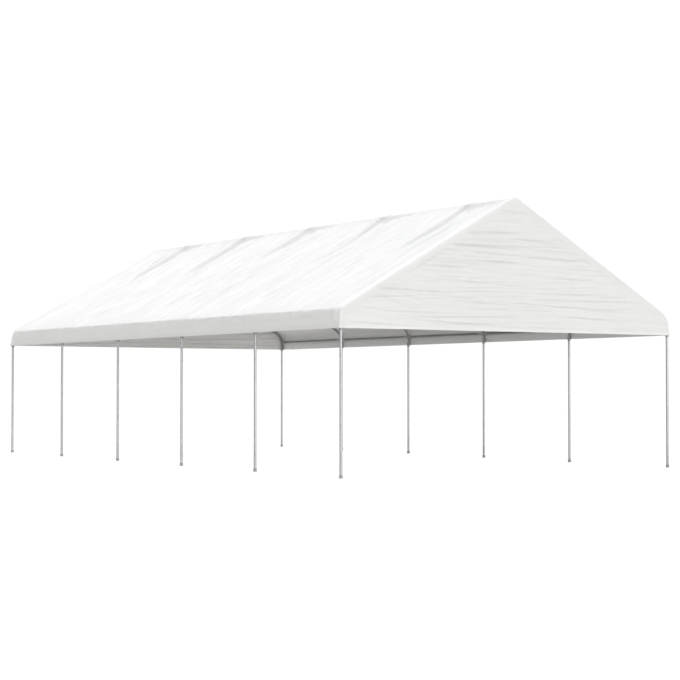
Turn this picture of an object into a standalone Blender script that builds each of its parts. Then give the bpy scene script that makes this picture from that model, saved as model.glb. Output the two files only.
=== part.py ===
"""Party tent: a frame of steel tube arches under a white cloth cover.

Metres, +Z up. The tent runs along X with its front gable at +X, and Y is across it.
The origin is on the ground, at the middle of the footprint.
"""

import math

import bmesh
import bpy
from mathutils import Vector

# Plan and heights, on the tubes' axes
BAYS = 5
BAY_LENGTH = 2.22
POST_Y = 2.90
ROOF_PITCH = math.radians(29.3)
CORNER_HEIGHT = 2.217
PURLIN_HEIGHT = 2.11
PURLIN_INSET = 0.003
ELBOW_BEND = 0.28
RIDGE_BEND = 0.12

# Tubes and the connectors' sockets, which hold the tubes' ends
TUBE_RADIUS = 0.019
SOCKET_RADIUS = 0.0215
SOCKET_DEPTH = 0.09
SOCKET_LEG = 0.12
POST_SOCKET_END = 1.935
PURLIN_SOCKET_REACH = 0.125
FOOT_RADIUS = 0.026
FOOT_HEIGHT = 0.045
FOOT_BEVEL = 0.004
TUBE_SIDES = 12
ELBOW_STEPS = 5
RIDGE_STEPS = 6

# Cloth cover
CLOTH_THICKNESS = 0.004
HEM_HEIGHT = 1.965
VALANCE_FLARE = 0.017
ROOF_SAG = 0.050
SAG_STEPS = 6
SLOPE_STEPS = 6
SAG_REACH = 0.86

# Clearance between pieces that touch
GAP = 0.0003

ARCHES = BAYS + 1
HALF_LENGTH = BAYS * BAY_LENGTH / 2
PEAK_HEIGHT = CORNER_HEIGHT + POST_Y * math.tan(ROOF_PITCH)
ELBOW_TURN = math.pi / 2 - ROOF_PITCH
ELBOW_TANGENT = ELBOW_BEND * math.tan(ELBOW_TURN / 2)
BEND_HEIGHT = CORNER_HEIGHT - ELBOW_TANGENT
RIDGE_TANGENT = RIDGE_BEND * math.tan(ROOF_PITCH)
RIDGE_HEIGHT = PEAK_HEIGHT - RIDGE_BEND * (1 / math.cos(ROOF_PITCH) - 1)
BORE_RADIUS = TUBE_RADIUS + GAP
DOWN_SLOPE = Vector((0, math.cos(ROOF_PITCH), -math.sin(ROOF_PITCH)))


def clear_scene():
    for thing in list(bpy.data.objects):
        bpy.data.objects.remove(thing, do_unlink=True)


def make_material(name, colour, roughness, metallic):
    material = bpy.data.materials.new(name)
    material.use_nodes = True
    shader = material.node_tree.nodes["Principled BSDF"]
    shader.inputs["Base Color"].default_value = (*colour, 1)
    shader.inputs["Roughness"].default_value = roughness
    shader.inputs["Metallic"].default_value = metallic
    return material


def make_object(name, mesh, material, place=(0, 0, 0), turn=0.0):
    """Adds one piece to the scene, turned about the upright axis."""
    piece = bpy.data.objects.new(name, mesh)
    piece.location = place
    piece.rotation_euler = (0, 0, turn)
    if material.name not in mesh.materials:
        mesh.materials.append(material)
    bpy.context.scene.collection.objects.link(piece)
    return piece


def finish_mesh(name, shape):
    """Writes a bmesh to a smooth-shaded mesh with its faces pointing out."""
    bmesh.ops.recalc_face_normals(shape, faces=shape.faces)
    mesh = bpy.data.meshes.new(name)
    shape.to_mesh(mesh)
    shape.free()
    mesh.shade_smooth()
    mesh.set_sharp_from_angle(angle=math.radians(40))
    return mesh


def ring_of_points(shape, centre, forward, radius):
    """A ring of vertices about an axis that points along forward."""
    side = forward.cross(Vector((1, 0, 0)))
    if side.length < 0.5:
        side = forward.cross(Vector((0, 0, 1)))
    side.normalize()
    up = side.cross(forward)
    ring = []
    for step in range(TUBE_SIDES):
        angle = 2 * math.pi * (step + 0.5) / TUBE_SIDES
        offset = side * math.cos(angle) + up * math.sin(angle)
        ring.append(shape.verts.new(centre + offset * radius))
    return ring


def join_rings(shape, rings):
    """Skins a row of rings and closes both ends."""
    for lower, upper in zip(rings, rings[1:]):
        for step in range(TUBE_SIDES):
            after = (step + 1) % TUBE_SIDES
            shape.faces.new((lower[step], lower[after], upper[after], upper[step]))
    shape.faces.new(rings[0])
    shape.faces.new(rings[-1])


def tube_mesh(name, path, radius):
    """A round bar that follows a path of points."""
    shape = bmesh.new()
    rings = []
    for index, point in enumerate(path):
        arriving = point - path[index - 1] if index > 0 else path[1] - point
        leaving = path[index + 1] - point if index < len(path) - 1 else arriving
        forward = (arriving.normalized() + leaving.normalized()).normalized()
        rings.append(ring_of_points(shape, point, forward, radius))
    join_rings(shape, rings)
    return finish_mesh(name, shape)


def straight_tube(name, length, direction):
    """A straight tube that starts at its own origin."""
    return tube_mesh(name, [Vector((0, 0, 0)), direction * length], TUBE_RADIUS)


def combined_mesh(name, solids, bores):
    """One closed body: the solids fused together, with the bores cut out of it."""
    pieces = []
    for mesh in solids + bores:
        piece = bpy.data.objects.new(mesh.name, mesh)
        bpy.context.scene.collection.objects.link(piece)
        pieces.append(piece)
    body = pieces[0]
    for piece in pieces[1:]:
        cut = body.modifiers.new(piece.name, "BOOLEAN")
        cut.object = piece
        cut.solver = "EXACT"
        cut.operation = "UNION" if piece.data in solids else "DIFFERENCE"
    bpy.context.view_layer.update()
    evaluated = body.evaluated_get(bpy.context.evaluated_depsgraph_get())
    mesh = bpy.data.meshes.new_from_object(evaluated)
    mesh.name = name
    for piece in pieces:
        part = piece.data
        bpy.data.objects.remove(piece, do_unlink=True)
        bpy.data.meshes.remove(part)
    mesh.shade_smooth()
    mesh.set_sharp_from_angle(angle=math.radians(40))
    return mesh


def purlin_sockets(centre, sides):
    """The level sleeve of a connector, and the bores for the purlins that it holds."""
    along = Vector((1, 0, 0))
    ends = [side * PURLIN_SOCKET_REACH if side in sides else 0.0 for side in (-1, 1)]
    sleeve = tube_mesh("sleeve", [centre + along * ends[0], centre + along * ends[1]], SOCKET_RADIUS)
    bores = []
    for side in sides:
        floor = centre + along * side * (PURLIN_SOCKET_REACH - SOCKET_DEPTH)
        mouth = centre + along * side * (PURLIN_SOCKET_REACH + SOCKET_DEPTH)
        bores.append(tube_mesh("purlin bore", [floor, mouth], BORE_RADIUS))
    return sleeve, bores


def leg_bore(end, direction):
    """A bore that runs back into a leg from its open end."""
    path = [end - direction * SOCKET_DEPTH, end + direction * SOCKET_DEPTH]
    return tube_mesh("leg bore", path, BORE_RADIUS)


def eave_purlin_y():
    """How far an eave purlin's axis lies from the middle plane, just inside the elbow's axis."""
    rise = (PURLIN_HEIGHT - BEND_HEIGHT) / ELBOW_BEND
    return POST_Y - ELBOW_BEND * (1 - math.sqrt(1 - rise * rise)) - PURLIN_INSET


def eave_connector_mesh(name, sides):
    """A bent tube from post to rafter, with a socket for each eave purlin.

    Its own origin is where the axes of post and rafter would cross.
    """
    inward = -DOWN_SLOPE
    bend_centre = Vector((0, -ELBOW_BEND, -ELBOW_TANGENT))
    path = [Vector((0, 0, POST_SOCKET_END - CORNER_HEIGHT))]
    for step in range(ELBOW_STEPS + 1):
        angle = ELBOW_TURN * step / ELBOW_STEPS
        path.append(bend_centre + Vector((0, math.cos(angle), math.sin(angle))) * ELBOW_BEND)
    path.append(inward * (ELBOW_TANGENT + SOCKET_LEG))
    leg = tube_mesh("bent leg", path, SOCKET_RADIUS)
    centre = Vector((0, eave_purlin_y() - POST_Y, PURLIN_HEIGHT - CORNER_HEIGHT))
    sleeve, bores = purlin_sockets(centre, sides)
    bores.append(leg_bore(path[0], Vector((0, 0, -1))))
    bores.append(leg_bore(path[-1], inward))
    return combined_mesh(name, [leg, sleeve], bores)


def ridge_connector_mesh(name, sides):
    """A bent tube between two rafters, with a socket for each ridge purlin.

    Its own origin is where the axes of the two rafters would cross.
    """
    mirrored = Vector((0, -DOWN_SLOPE.y, DOWN_SLOPE.z))
    bend_centre = Vector((0, 0, -RIDGE_BEND / math.cos(ROOF_PITCH)))
    path = [mirrored * (RIDGE_TANGENT + SOCKET_LEG)]
    for step in range(RIDGE_STEPS + 1):
        angle = ROOF_PITCH * (2 * step / RIDGE_STEPS - 1)
        path.append(bend_centre + Vector((0, math.sin(angle), math.cos(angle))) * RIDGE_BEND)
    path.append(DOWN_SLOPE * (RIDGE_TANGENT + SOCKET_LEG))
    leg = tube_mesh("bent leg", path, SOCKET_RADIUS)
    centre = Vector((0, 0, RIDGE_HEIGHT - PEAK_HEIGHT))
    sleeve, bores = purlin_sockets(centre, sides)
    bores.append(leg_bore(path[0], mirrored))
    bores.append(leg_bore(path[-1], DOWN_SLOPE))
    return combined_mesh(name, [leg, sleeve], bores)


def post_mesh():
    """An upright tube in its foot cap, up to the bottom of the connector's bore."""
    up = Vector((0, 0, 1))
    profile = [
        (0.0, FOOT_RADIUS - FOOT_BEVEL),
        (FOOT_BEVEL, FOOT_RADIUS),
        (FOOT_HEIGHT - FOOT_BEVEL, FOOT_RADIUS),
        (FOOT_HEIGHT, FOOT_RADIUS - FOOT_BEVEL),
        (FOOT_HEIGHT, TUBE_RADIUS),
        (POST_SOCKET_END + SOCKET_DEPTH - GAP, TUBE_RADIUS),
    ]
    shape = bmesh.new()
    rings = []
    for height, radius in profile:
        rings.append(ring_of_points(shape, up * height, up, radius))
    join_rings(shape, rings)
    return finish_mesh("post", shape)


def hang_depth(along):
    """How deep the roof cloth hangs at a place along X, from 0 at an arch to 1 at mid-bay."""
    bay = (along + HALF_LENGTH) / BAY_LENGTH
    share = bay - math.floor(bay)
    if along >= HALF_LENGTH or along <= -HALF_LENGTH:
        return 0.0
    return 4 * share * (1 - share)


def cover_section(clearance, depth):
    """Points (y, z) on one half of the cover's inner face, from the ridge to the hem.

    clearance is its distance from the tubes' axes, and depth its sag, from 0 to 1.
    """
    points = []
    peak_centre = PEAK_HEIGHT - RIDGE_BEND / math.cos(ROOF_PITCH)
    for step in range(RIDGE_STEPS // 2 + 1):
        angle = ROOF_PITCH * 2 * step / RIDGE_STEPS
        reach = RIDGE_BEND + clearance
        points.append((reach * math.sin(angle), peak_centre + reach * math.cos(angle)))
    start = Vector(points[-1])
    shoulder = Vector((POST_Y - ELBOW_BEND, BEND_HEIGHT))
    shoulder_reach = ELBOW_BEND + clearance
    end = shoulder + Vector((math.sin(ROOF_PITCH), math.cos(ROOF_PITCH))) * shoulder_reach
    inward = Vector((-math.sin(ROOF_PITCH), -math.cos(ROOF_PITCH)))
    for step in range(1, SLOPE_STEPS + 1):
        share = step / SLOPE_STEPS
        sag = ROOF_SAG * depth * math.sin(math.pi * SAG_REACH * share)
        points.append(tuple(start.lerp(end, share) + inward * sag))
    shoulder_sag = ROOF_SAG * depth * math.sin(math.pi * SAG_REACH)
    for step in range(1, ELBOW_STEPS + 1):
        share = 1 - step / ELBOW_STEPS
        angle = ELBOW_TURN * share
        reach = shoulder_reach - shoulder_sag * share * share
        points.append((shoulder.x + reach * math.cos(angle), shoulder.y + reach * math.sin(angle)))
    points.append((POST_Y + clearance + VALANCE_FLARE, HEM_HEIGHT))
    return points


def whole_section(clearance, depth):
    """The cover's section from the hem at -Y over the ridge to the hem at +Y."""
    half = cover_section(clearance, depth)
    mirrored = [(-y, z) for y, z in half[:0:-1]]
    return mirrored + half


def add_roof_cover(material):
    """One sheet over all arches. It hangs between them, and its edges close off the gables."""
    clearance = SOCKET_RADIUS + GAP
    end = HALF_LENGTH + clearance + CLOTH_THICKNESS
    stations = [-end]
    for step in range(BAYS * SAG_STEPS + 1):
        stations.append(-HALF_LENGTH + BAY_LENGTH * step / SAG_STEPS)
    stations.append(end)
    shape = bmesh.new()
    rows = []
    for along in stations:
        section = whole_section(clearance, hang_depth(along))
        rows.append([shape.verts.new((along, y, z)) for y, z in section])
    for row, after in zip(rows, rows[1:]):
        for index in range(len(row) - 1):
            shape.faces.new((row[index], after[index], after[index + 1], row[index + 1]))
    mesh = bpy.data.meshes.new("roof_cover")
    shape.normal_update()
    shape.to_mesh(mesh)
    shape.free()
    mesh.shade_smooth()
    piece = make_object("roof_cover", mesh, material)
    skin = piece.modifiers.new("thickness", "SOLIDIFY")
    skin.thickness = CLOTH_THICKNESS
    skin.offset = 1
    skin.use_even_offset = True


def add_gable(name, side, material):
    """A gable sheet hung inside the roof's edge, just outside the end arch."""
    section = whole_section(SOCKET_RADIUS, 0.0)
    inner = side * (HALF_LENGTH + SOCKET_RADIUS + GAP)
    outer = inner + side * CLOTH_THICKNESS
    shape = bmesh.new()
    near = [shape.verts.new((inner, y, z)) for y, z in section]
    far = [shape.verts.new((outer, y, z)) for y, z in section]
    for index in range(len(section)):
        after = (index + 1) % len(section)
        shape.faces.new((near[index], near[after], far[after], far[index]))
    shape.faces.new(near)
    shape.faces.new(far)
    bmesh.ops.triangulate(shape, faces=shape.faces)
    make_object(name, finish_mesh(name, shape), material)


def build_tent():
    steel = make_material("galvanised tube", (0.62, 0.63, 0.64), 0.38, 0.9)
    socket_steel = make_material("connector steel", (0.5, 0.51, 0.52), 0.45, 0.9)
    cloth = make_material("white cover cloth", (0.93, 0.935, 0.93), 0.6, 0.0)

    rafter_start = RIDGE_TANGENT + SOCKET_LEG - SOCKET_DEPTH + GAP
    slope_length = POST_Y / math.cos(ROOF_PITCH)
    rafter_end = slope_length - ELBOW_TANGENT - SOCKET_LEG + SOCKET_DEPTH - GAP
    purlin_start = PURLIN_SOCKET_REACH - SOCKET_DEPTH + GAP
    purlin_length = BAY_LENGTH - 2 * purlin_start
    post = post_mesh()
    rafter = straight_tube("rafter", rafter_end - rafter_start, DOWN_SLOPE)
    purlin = straight_tube("purlin", purlin_length, Vector((1, 0, 0)))
    reaches = {(1,): "first", (-1, 1): "middle", (-1,): "last"}
    eave_meshes = {sides: eave_connector_mesh("eave " + word, sides) for sides, word in reaches.items()}
    ridge_meshes = {sides: ridge_connector_mesh("ridge " + word, sides) for sides, word in reaches.items()}

    for arch in range(ARCHES):
        along = -HALF_LENGTH + arch * BAY_LENGTH
        sides = (1,) if arch == 0 else (-1,) if arch == BAYS else (-1, 1)
        number = str(arch + 1)
        for row, side, turn in (("near", -1, math.pi), ("far", 1, 0.0)):
            name = row + "_" + number
            here = Vector((along, side * POST_Y, 0))
            turned_sides = tuple(sorted(step * side for step in sides))
            corner = here + Vector((0, 0, CORNER_HEIGHT))
            start = DOWN_SLOPE * rafter_start
            top = Vector((along, side * start.y, PEAK_HEIGHT + start.z))
            make_object("post_" + name, post, steel, here)
            make_object("eave_connector_" + name, eave_meshes[turned_sides], socket_steel, corner, turn)
            make_object("rafter_" + name, rafter, steel, top, turn)
        make_object("ridge_connector_" + number, ridge_meshes[sides], socket_steel, (along, 0, PEAK_HEIGHT))

    purlin_y = eave_purlin_y()
    for bay in range(BAYS):
        along = -HALF_LENGTH + bay * BAY_LENGTH + purlin_start
        number = str(bay + 1)
        make_object("eave_purlin_near_" + number, purlin, steel, (along, -purlin_y, PURLIN_HEIGHT))
        make_object("eave_purlin_far_" + number, purlin, steel, (along, purlin_y, PURLIN_HEIGHT))
        make_object("ridge_purlin_" + number, purlin, steel, (along, 0, RIDGE_HEIGHT))

    add_roof_cover(cloth)
    add_gable("front_gable", 1, cloth)
    add_gable("rear_gable", -1, cloth)


clear_scene()
build_tent()
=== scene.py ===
from math import asin, cos, pi, radians, sin, sqrt, tan

import bmesh
import bpy
import numpy as np
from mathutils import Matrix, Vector


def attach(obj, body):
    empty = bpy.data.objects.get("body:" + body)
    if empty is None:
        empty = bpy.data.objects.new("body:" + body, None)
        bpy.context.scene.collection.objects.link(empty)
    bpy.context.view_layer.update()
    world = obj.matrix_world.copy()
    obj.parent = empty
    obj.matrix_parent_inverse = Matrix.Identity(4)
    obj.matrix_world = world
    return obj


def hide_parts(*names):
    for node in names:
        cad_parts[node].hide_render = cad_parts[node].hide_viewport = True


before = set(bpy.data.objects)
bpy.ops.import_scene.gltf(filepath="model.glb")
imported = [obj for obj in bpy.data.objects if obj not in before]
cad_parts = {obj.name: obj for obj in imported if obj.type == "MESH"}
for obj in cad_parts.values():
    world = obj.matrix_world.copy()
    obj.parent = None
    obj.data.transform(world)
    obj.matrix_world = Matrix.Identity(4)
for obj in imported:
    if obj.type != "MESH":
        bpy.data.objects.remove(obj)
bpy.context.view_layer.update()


# Camera
# It stands off the front right corner of the tent, a little over a metre above the ground,
# and looks almost level at the front gable and the long near side.
FOCAL_PIXELS = 1721.8
PICTURE_PIXELS = 680
SENSOR_WIDTH = 36
CAMERA_PLACE = (24.395, -15.174, 1.162)
CAMERA_TILT = radians(91.638)
CAMERA_TURN = radians(56.951)


def add_object(name, data):
    """A new object in the scene."""
    added = bpy.data.objects.new(name, data)
    bpy.context.scene.collection.objects.link(added)
    return added


camera_data = bpy.data.cameras.new("camera")
camera_data.sensor_width = SENSOR_WIDTH
camera_data.lens = SENSOR_WIDTH * FOCAL_PIXELS / PICTURE_PIXELS
camera_data.clip_end = 400
camera_data.dof.use_dof = False
camera = add_object("camera", camera_data)
camera.location = CAMERA_PLACE
camera.rotation_euler = (CAMERA_TILT, 0, CAMERA_TURN)
bpy.context.scene.camera = camera


# Studio floor and light
# A wide pale floor under a white surround, dimmed low down along both long sides and brightened
# low down in front of the front gable. One broad soft lamp stands high over the rear of the tent.
FLOOR_REACH = 150
FLOOR_DROP = 0.001
FLOOR_COLOUR = (0.735, 0.726, 0.714, 1)
FLOOR_GLOW_SHARE = 0.95
WHITE = (1, 1, 1, 1)
BACKDROP_LIGHT = 1.05
SURROUND_LIGHT = 0.765
SIDE_DIMMING = 0.615
FRONT_LIGHT = 1.36
FRONT_WAY = (1.0, 0.1, -0.45)
LAMP_LIGHT = 1.34
LAMP_SPREAD = radians(14)
LAMP_FROM = Vector((-0.45, -0.1, 0.88))

bpy.context.scene.view_settings.view_transform = "Standard"


def feed(socket, value):
    """Gives a node's input a value, or links it to another node's output."""
    if isinstance(value, bpy.types.NodeSocket):
        socket.id_data.links.new(value, socket)
    else:
        socket.default_value = value


def feed_all(node, **inputs):
    """Feeds a node's inputs by name."""
    for name, value in inputs.items():
        feed(node.inputs[name.replace("_", " ")], value)


def add_node(tree, kind, *terms, settings=None, **inputs):
    """Adds a node. Terms feed its inputs in order, and the others are fed by name."""
    node = tree.nodes.new("ShaderNode" + kind)
    for key, value in (settings or {}).items():
        setattr(node, key, value)
    for socket, value in zip(node.inputs, terms):
        feed(socket, value)
    feed_all(node, **inputs)
    return node


def work_out(tree, operation, *terms):
    """The result of one step of arithmetic in a node tree."""
    return add_node(tree, "Math", *terms, settings={"operation": operation}).outputs[0]


def rise_softly(tree, value, start, end, top):
    """Rises without a step from 0, where the value is start, to top, where it is end."""
    soft = {"interpolation_type": "SMOOTHSTEP"}
    rise = add_node(tree, "MapRange", settings=soft, Value=value, From_Min=start, From_Max=end, To_Max=top)
    return rise.outputs["Result"]


floor_mesh = bpy.data.meshes.new("studio_floor")
floor_corners = [(-1, -1), (1, -1), (1, 1), (-1, 1)]
floor_points = [(x * FLOOR_REACH, y * FLOOR_REACH, -FLOOR_DROP) for x, y in floor_corners]
floor_mesh.from_pydata(floor_points, [], [(0, 1, 2, 3)])
add_object("studio_floor", floor_mesh)

pale_floor = bpy.data.materials.new("pale floor")
pale_floor.use_nodes = True
tree = pale_floor.node_tree
tree.nodes.clear()
paint = add_node(tree, "BsdfDiffuse", Color=FLOOR_COLOUR)
glow = add_node(tree, "Emission", Color=WHITE, Strength=BACKDROP_LIGHT)
in_view = add_node(tree, "LightPath").outputs["Is Camera Ray"]
share = work_out(tree, "MULTIPLY", in_view, FLOOR_GLOW_SHARE)
blend = add_node(tree, "MixShader", share, paint.outputs[0], glow.outputs[0])
add_node(tree, "OutputMaterial", Surface=blend.outputs[0])
floor_mesh.materials.append(pale_floor)

surround = bpy.data.worlds.new("white surround")
surround.use_nodes = True
tree = surround.node_tree
tree.nodes.clear()
direction = add_node(tree, "TexCoord").outputs["Generated"]
parts = add_node(tree, "SeparateXYZ", direction).outputs
sideways = work_out(tree, "ABSOLUTE", parts["Y"])
low_side = work_out(tree, "MULTIPLY_ADD", parts["Z"], -0.4, sideways)
dimming = rise_softly(tree, low_side, 0.15, 0.9, SIDE_DIMMING)
low_front = add_node(tree, "VectorMath", direction, FRONT_WAY, settings={"operation": "DOT_PRODUCT"})
brightening = rise_softly(tree, low_front.outputs["Value"], 0.2, 0.95, FRONT_LIGHT)
dimmed = work_out(tree, "SUBTRACT", SURROUND_LIGHT, dimming)
lit = work_out(tree, "ADD", dimmed, brightening)
lighting = add_node(tree, "Background", Color=WHITE, Strength=lit)
backdrop = add_node(tree, "Background", Color=WHITE, Strength=BACKDROP_LIGHT)
in_view = add_node(tree, "LightPath").outputs["Is Camera Ray"]
blend = add_node(tree, "MixShader", in_view, lighting.outputs[0], backdrop.outputs[0])
add_node(tree, "OutputWorld", Surface=blend.outputs[0])
bpy.context.scene.world = surround

lamp_data = bpy.data.lights.new("soft_lamp", "SUN")
lamp_data.energy = LAMP_LIGHT
lamp_data.angle = LAMP_SPREAD
soft_lamp = add_object("soft_lamp", lamp_data)
soft_lamp.rotation_euler = LAMP_FROM.to_track_quat("Z", "Y").to_euler()


# Roof cover
# One sheet of coated polyethylene weave, stretched from the near hem over the ridge to the far
# hem. It lies on the arches, hangs slack between them, and turns down over both end arches.
BAYS = 5
ARCHES = BAYS + 1
BAY_LENGTH = 2.22
HALF_LENGTH = BAYS * BAY_LENGTH / 2
LONG_SIDES = (("near", -1), ("far", 1))

# The arches' section, on the tubes' axes
POST_Y = 2.9
ROOF_PITCH = radians(29.3)
CORNER_HEIGHT = 2.217
ELBOW_BEND = 0.28
RIDGE_BEND = 0.12
PEAK_HEIGHT = CORNER_HEIGHT + POST_Y * tan(ROOF_PITCH)
ELBOW_TURN = pi / 2 - ROOF_PITCH
ELBOW_TANGENT = ELBOW_BEND * tan(ELBOW_TURN / 2)
BEND_HEIGHT = CORNER_HEIGHT - ELBOW_TANGENT
RIDGE_TANGENT = RIDGE_BEND * tan(ROOF_PITCH)
RIDGE_CENTRE = PEAK_HEIGHT - RIDGE_BEND / cos(ROOF_PITCH)

# The cloth over them: how high it lies over the axes, how slack it is, and its hem
COVER_LIFT = 0.0222
ROOF_SAG = 0.05
SAG_REACH = 0.95
SAG_LEAN = 0.58
# Painted shade: the darker tone of the cloth's inner face, for the underside under the cover
INNER_FACE_SHADE = (0.81, 0.8, 0.8, 1)
HEM_HEIGHT = 1.965
STIFF_HEM = 0.038
VALANCE_FLARE = 0.017

# The sewn shoulder's radius between the arches, over each arch and at the near front corner
SEAM_BEND = 0.02
ARCH_SEAM_BEND = 0.07
ARCH_REACH = 0.16
END_SEAM_BEND = 0.075
END_REACH = 0.32

# The roll over each end arch, its lip on the gable, and the doubled band along the rake
END_ROLL = 0.023
END_LIP = 0.02
RAKE_BAND = 0.14

# Lengths down the cloth, from the ridge to the near or far hem
RIDGE_ARC = (RIDGE_BEND + COVER_LIFT) * ROOF_PITCH
SLOPE = POST_Y / cos(ROOF_PITCH) - RIDGE_TANGENT - ELBOW_TANGENT
SHOULDER_ARC = (ELBOW_BEND + COVER_LIFT) * ELBOW_TURN
VALANCE_DROP = BEND_HEIGHT - HEM_HEIGHT
SHOULDER_START = RIDGE_ARC + SLOPE
VALANCE_START = SHOULDER_START + SHOULDER_ARC
HALF_WIDTH = VALANCE_START + VALANCE_DROP


def arch_x(arch):
    """Place of an arch along the tent, counted from the rear."""
    return -HALF_LENGTH + arch * BAY_LENGTH


def section_at(down, lift, bend):
    """The cover's section, by distance from the ridge over an arch (minus is the near side).

    lift is its height over the tubes' axes, and bend the radius of the shoulder. Returns y and z
    of the points, and y and z of the direction that points out of the cloth.
    """
    side = np.where(down < 0, -1.0, 1.0)
    down = np.abs(down)
    first_turn = np.clip(down / RIDGE_ARC, 0, 1) * ROOF_PITCH
    on_slope = np.clip((down - RIDGE_ARC) / SLOPE, 0, 1)
    second_turn = np.clip((down - SHOULDER_START) / SHOULDER_ARC, 0, 1) * ELBOW_TURN
    on_valance = np.clip((down - VALANCE_START) / VALANCE_DROP, 0, 1.05)
    tangent = bend * tan(ELBOW_TURN / 2)
    run = on_slope * (POST_Y / cos(ROOF_PITCH) - RIDGE_TANGENT - tangent)
    drop = on_valance * (CORNER_HEIGHT - tangent - HEM_HEIGHT)
    bent = ROOF_PITCH + second_turn
    y = (RIDGE_BEND + lift) * np.sin(first_turn) + run * cos(ROOF_PITCH)
    y = y + (bend + lift) * (np.sin(bent) - sin(ROOF_PITCH)) + VALANCE_FLARE * on_valance
    z = RIDGE_CENTRE + (RIDGE_BEND + lift) * np.cos(first_turn) - run * sin(ROOF_PITCH)
    z = z + (bend + lift) * (np.cos(bent) - cos(ROOF_PITCH)) - drop
    facing = first_turn + second_turn
    return side * y, z, side * np.sin(facing), np.cos(facing)


def shoulder_bend(x, down):
    """Radius of the shoulder: a sewn corner, rounder over each arch.

    It is pulled down on the elbows of both end arches, but stands off the near front one.
    """
    off_arch = np.abs((x / BAY_LENGTH + 0.5 * BAYS + 0.5) % 1 - 0.5) * BAY_LENGTH
    over_arch = np.clip(1 - off_arch / ARCH_REACH, 0, 1) ** 2
    at_end = np.clip((np.abs(x) - HALF_LENGTH) / END_REACH + 1, 0, 1) ** 2.5
    bend = SEAM_BEND + (ARCH_SEAM_BEND - SEAM_BEND) * over_arch
    loose = (down < 0) & (x > 0)
    return bend + (np.where(loose, END_SEAM_BEND, ELBOW_BEND) - bend) * at_end


def soft_noise(u, v, u_cell, v_cell, seed):
    """Smooth random waves from about -1 to 1, with cells of that size along u and v."""
    u = (u + 7) / u_cell
    v = (v + 7) / v_cell
    cells = (int(14 / u_cell) + 2, int(14 / v_cell) + 2)
    turns = np.random.default_rng(seed).uniform(0, 2 * pi, cells)
    u_low = np.floor(u).astype(int)
    v_low = np.floor(v).astype(int)
    u_part = u - u_low
    v_part = v - v_low

    def corner(u_step, v_step):
        turn = turns[u_low + u_step, v_low + v_step]
        return np.cos(turn) * (u_part - u_step) + np.sin(turn) * (v_part - v_step)

    u_blend = u_part ** 3 * (u_part * (6 * u_part - 15) + 10)
    v_blend = v_part ** 3 * (v_part * (6 * v_part - 15) + 10)
    low = corner(0, 0) * (1 - u_blend) + corner(1, 0) * u_blend
    high = corner(0, 1) * (1 - u_blend) + corner(1, 1) * u_blend
    return 1.5 * (low * (1 - v_blend) + high * v_blend)


def crease(u, v, path, depth, wall, ease, roll=0.0, both_ends=False, start=0.22):
    """How far a crease along a path presses the cloth in.

    Its steep wall lies to lower u of the path, with a raised roll beyond it, and its easy side to
    higher u. It fades out towards the path's end, or towards both ends.
    """
    pressed = np.zeros_like(u)
    reach = 3.5 * max(wall, ease)
    u_path, v_path = np.array(path).T
    close = (u > u_path.min() - reach) & (u < u_path.max() + reach)
    close &= (v > v_path.min() - reach) & (v < v_path.max() + reach)
    u_close = u[close]
    v_close = v[close]
    nearest = np.full(u_close.shape, np.inf)
    side = np.ones_like(nearest)
    travelled = np.zeros_like(nearest)
    u_legs = np.diff(u_path)
    v_legs = np.diff(v_path)
    lengths = np.hypot(u_legs, v_legs)
    done = 0.0
    for u_first, v_first, u_leg, v_leg, length in zip(u_path, v_path, u_legs, v_legs, lengths):
        along = ((u_close - u_first) * u_leg + (v_close - v_first) * v_leg) / length ** 2
        along = np.clip(along, 0, 1)
        u_off = u_close - u_first - along * u_leg
        v_off = v_close - v_first - along * v_leg
        off = np.hypot(u_off, v_off)
        nearer = off < nearest
        nearest = np.where(nearer, off, nearest)
        side = np.where(nearer, np.sign(u_off * v_leg - v_off * u_leg), side)
        travelled = np.where(nearer, (done + along * length) / lengths.sum(), travelled)
        done += length
    if both_ends:
        strength = np.sin(pi * np.clip(travelled, 0, 1))
    else:
        strength = np.clip(travelled / start, 0, 1) * np.clip(1 - travelled, 0, 1) ** 0.7
    groove = np.exp(-(nearest / np.where(side < 0, wall, ease)) ** 2)
    beyond = np.where(side < 0, np.exp(-((nearest - 2.0 * wall) / wall) ** 2), 0.0)
    pressed[close] = strength * (depth * groove - roll * beyond)
    return pressed


def bay_share(x):
    """The number of the bay at each x, and the share of the bay that lies behind it."""
    bay = np.clip((x + HALF_LENGTH) / BAY_LENGTH, 0, BAYS - 1e-6)
    number = np.floor(bay).astype(int)
    return number, bay - number


def sag(x, down):
    """How far the cloth hangs slack between the arches."""
    number, share = bay_share(x)
    on_slope = np.clip((np.abs(down) - RIDGE_ARC) / SLOPE, 0, 1)
    on_shoulder = np.clip((np.abs(down) - SHOULDER_START) / SHOULDER_ARC, 0, 1)
    belly = ROOF_SAG * np.sin(pi * SAG_REACH * on_slope ** SAG_LEAN) * (1 - on_shoulder) ** 2
    between_arches = 0.55 * np.sin(pi * share) ** 2 + 0.45 * 4 * share * (1 - share)
    slackness = np.array([0.95, 1.05, 0.9, 1.0, 0.95])[number]
    return belly * between_arches * slackness


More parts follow.
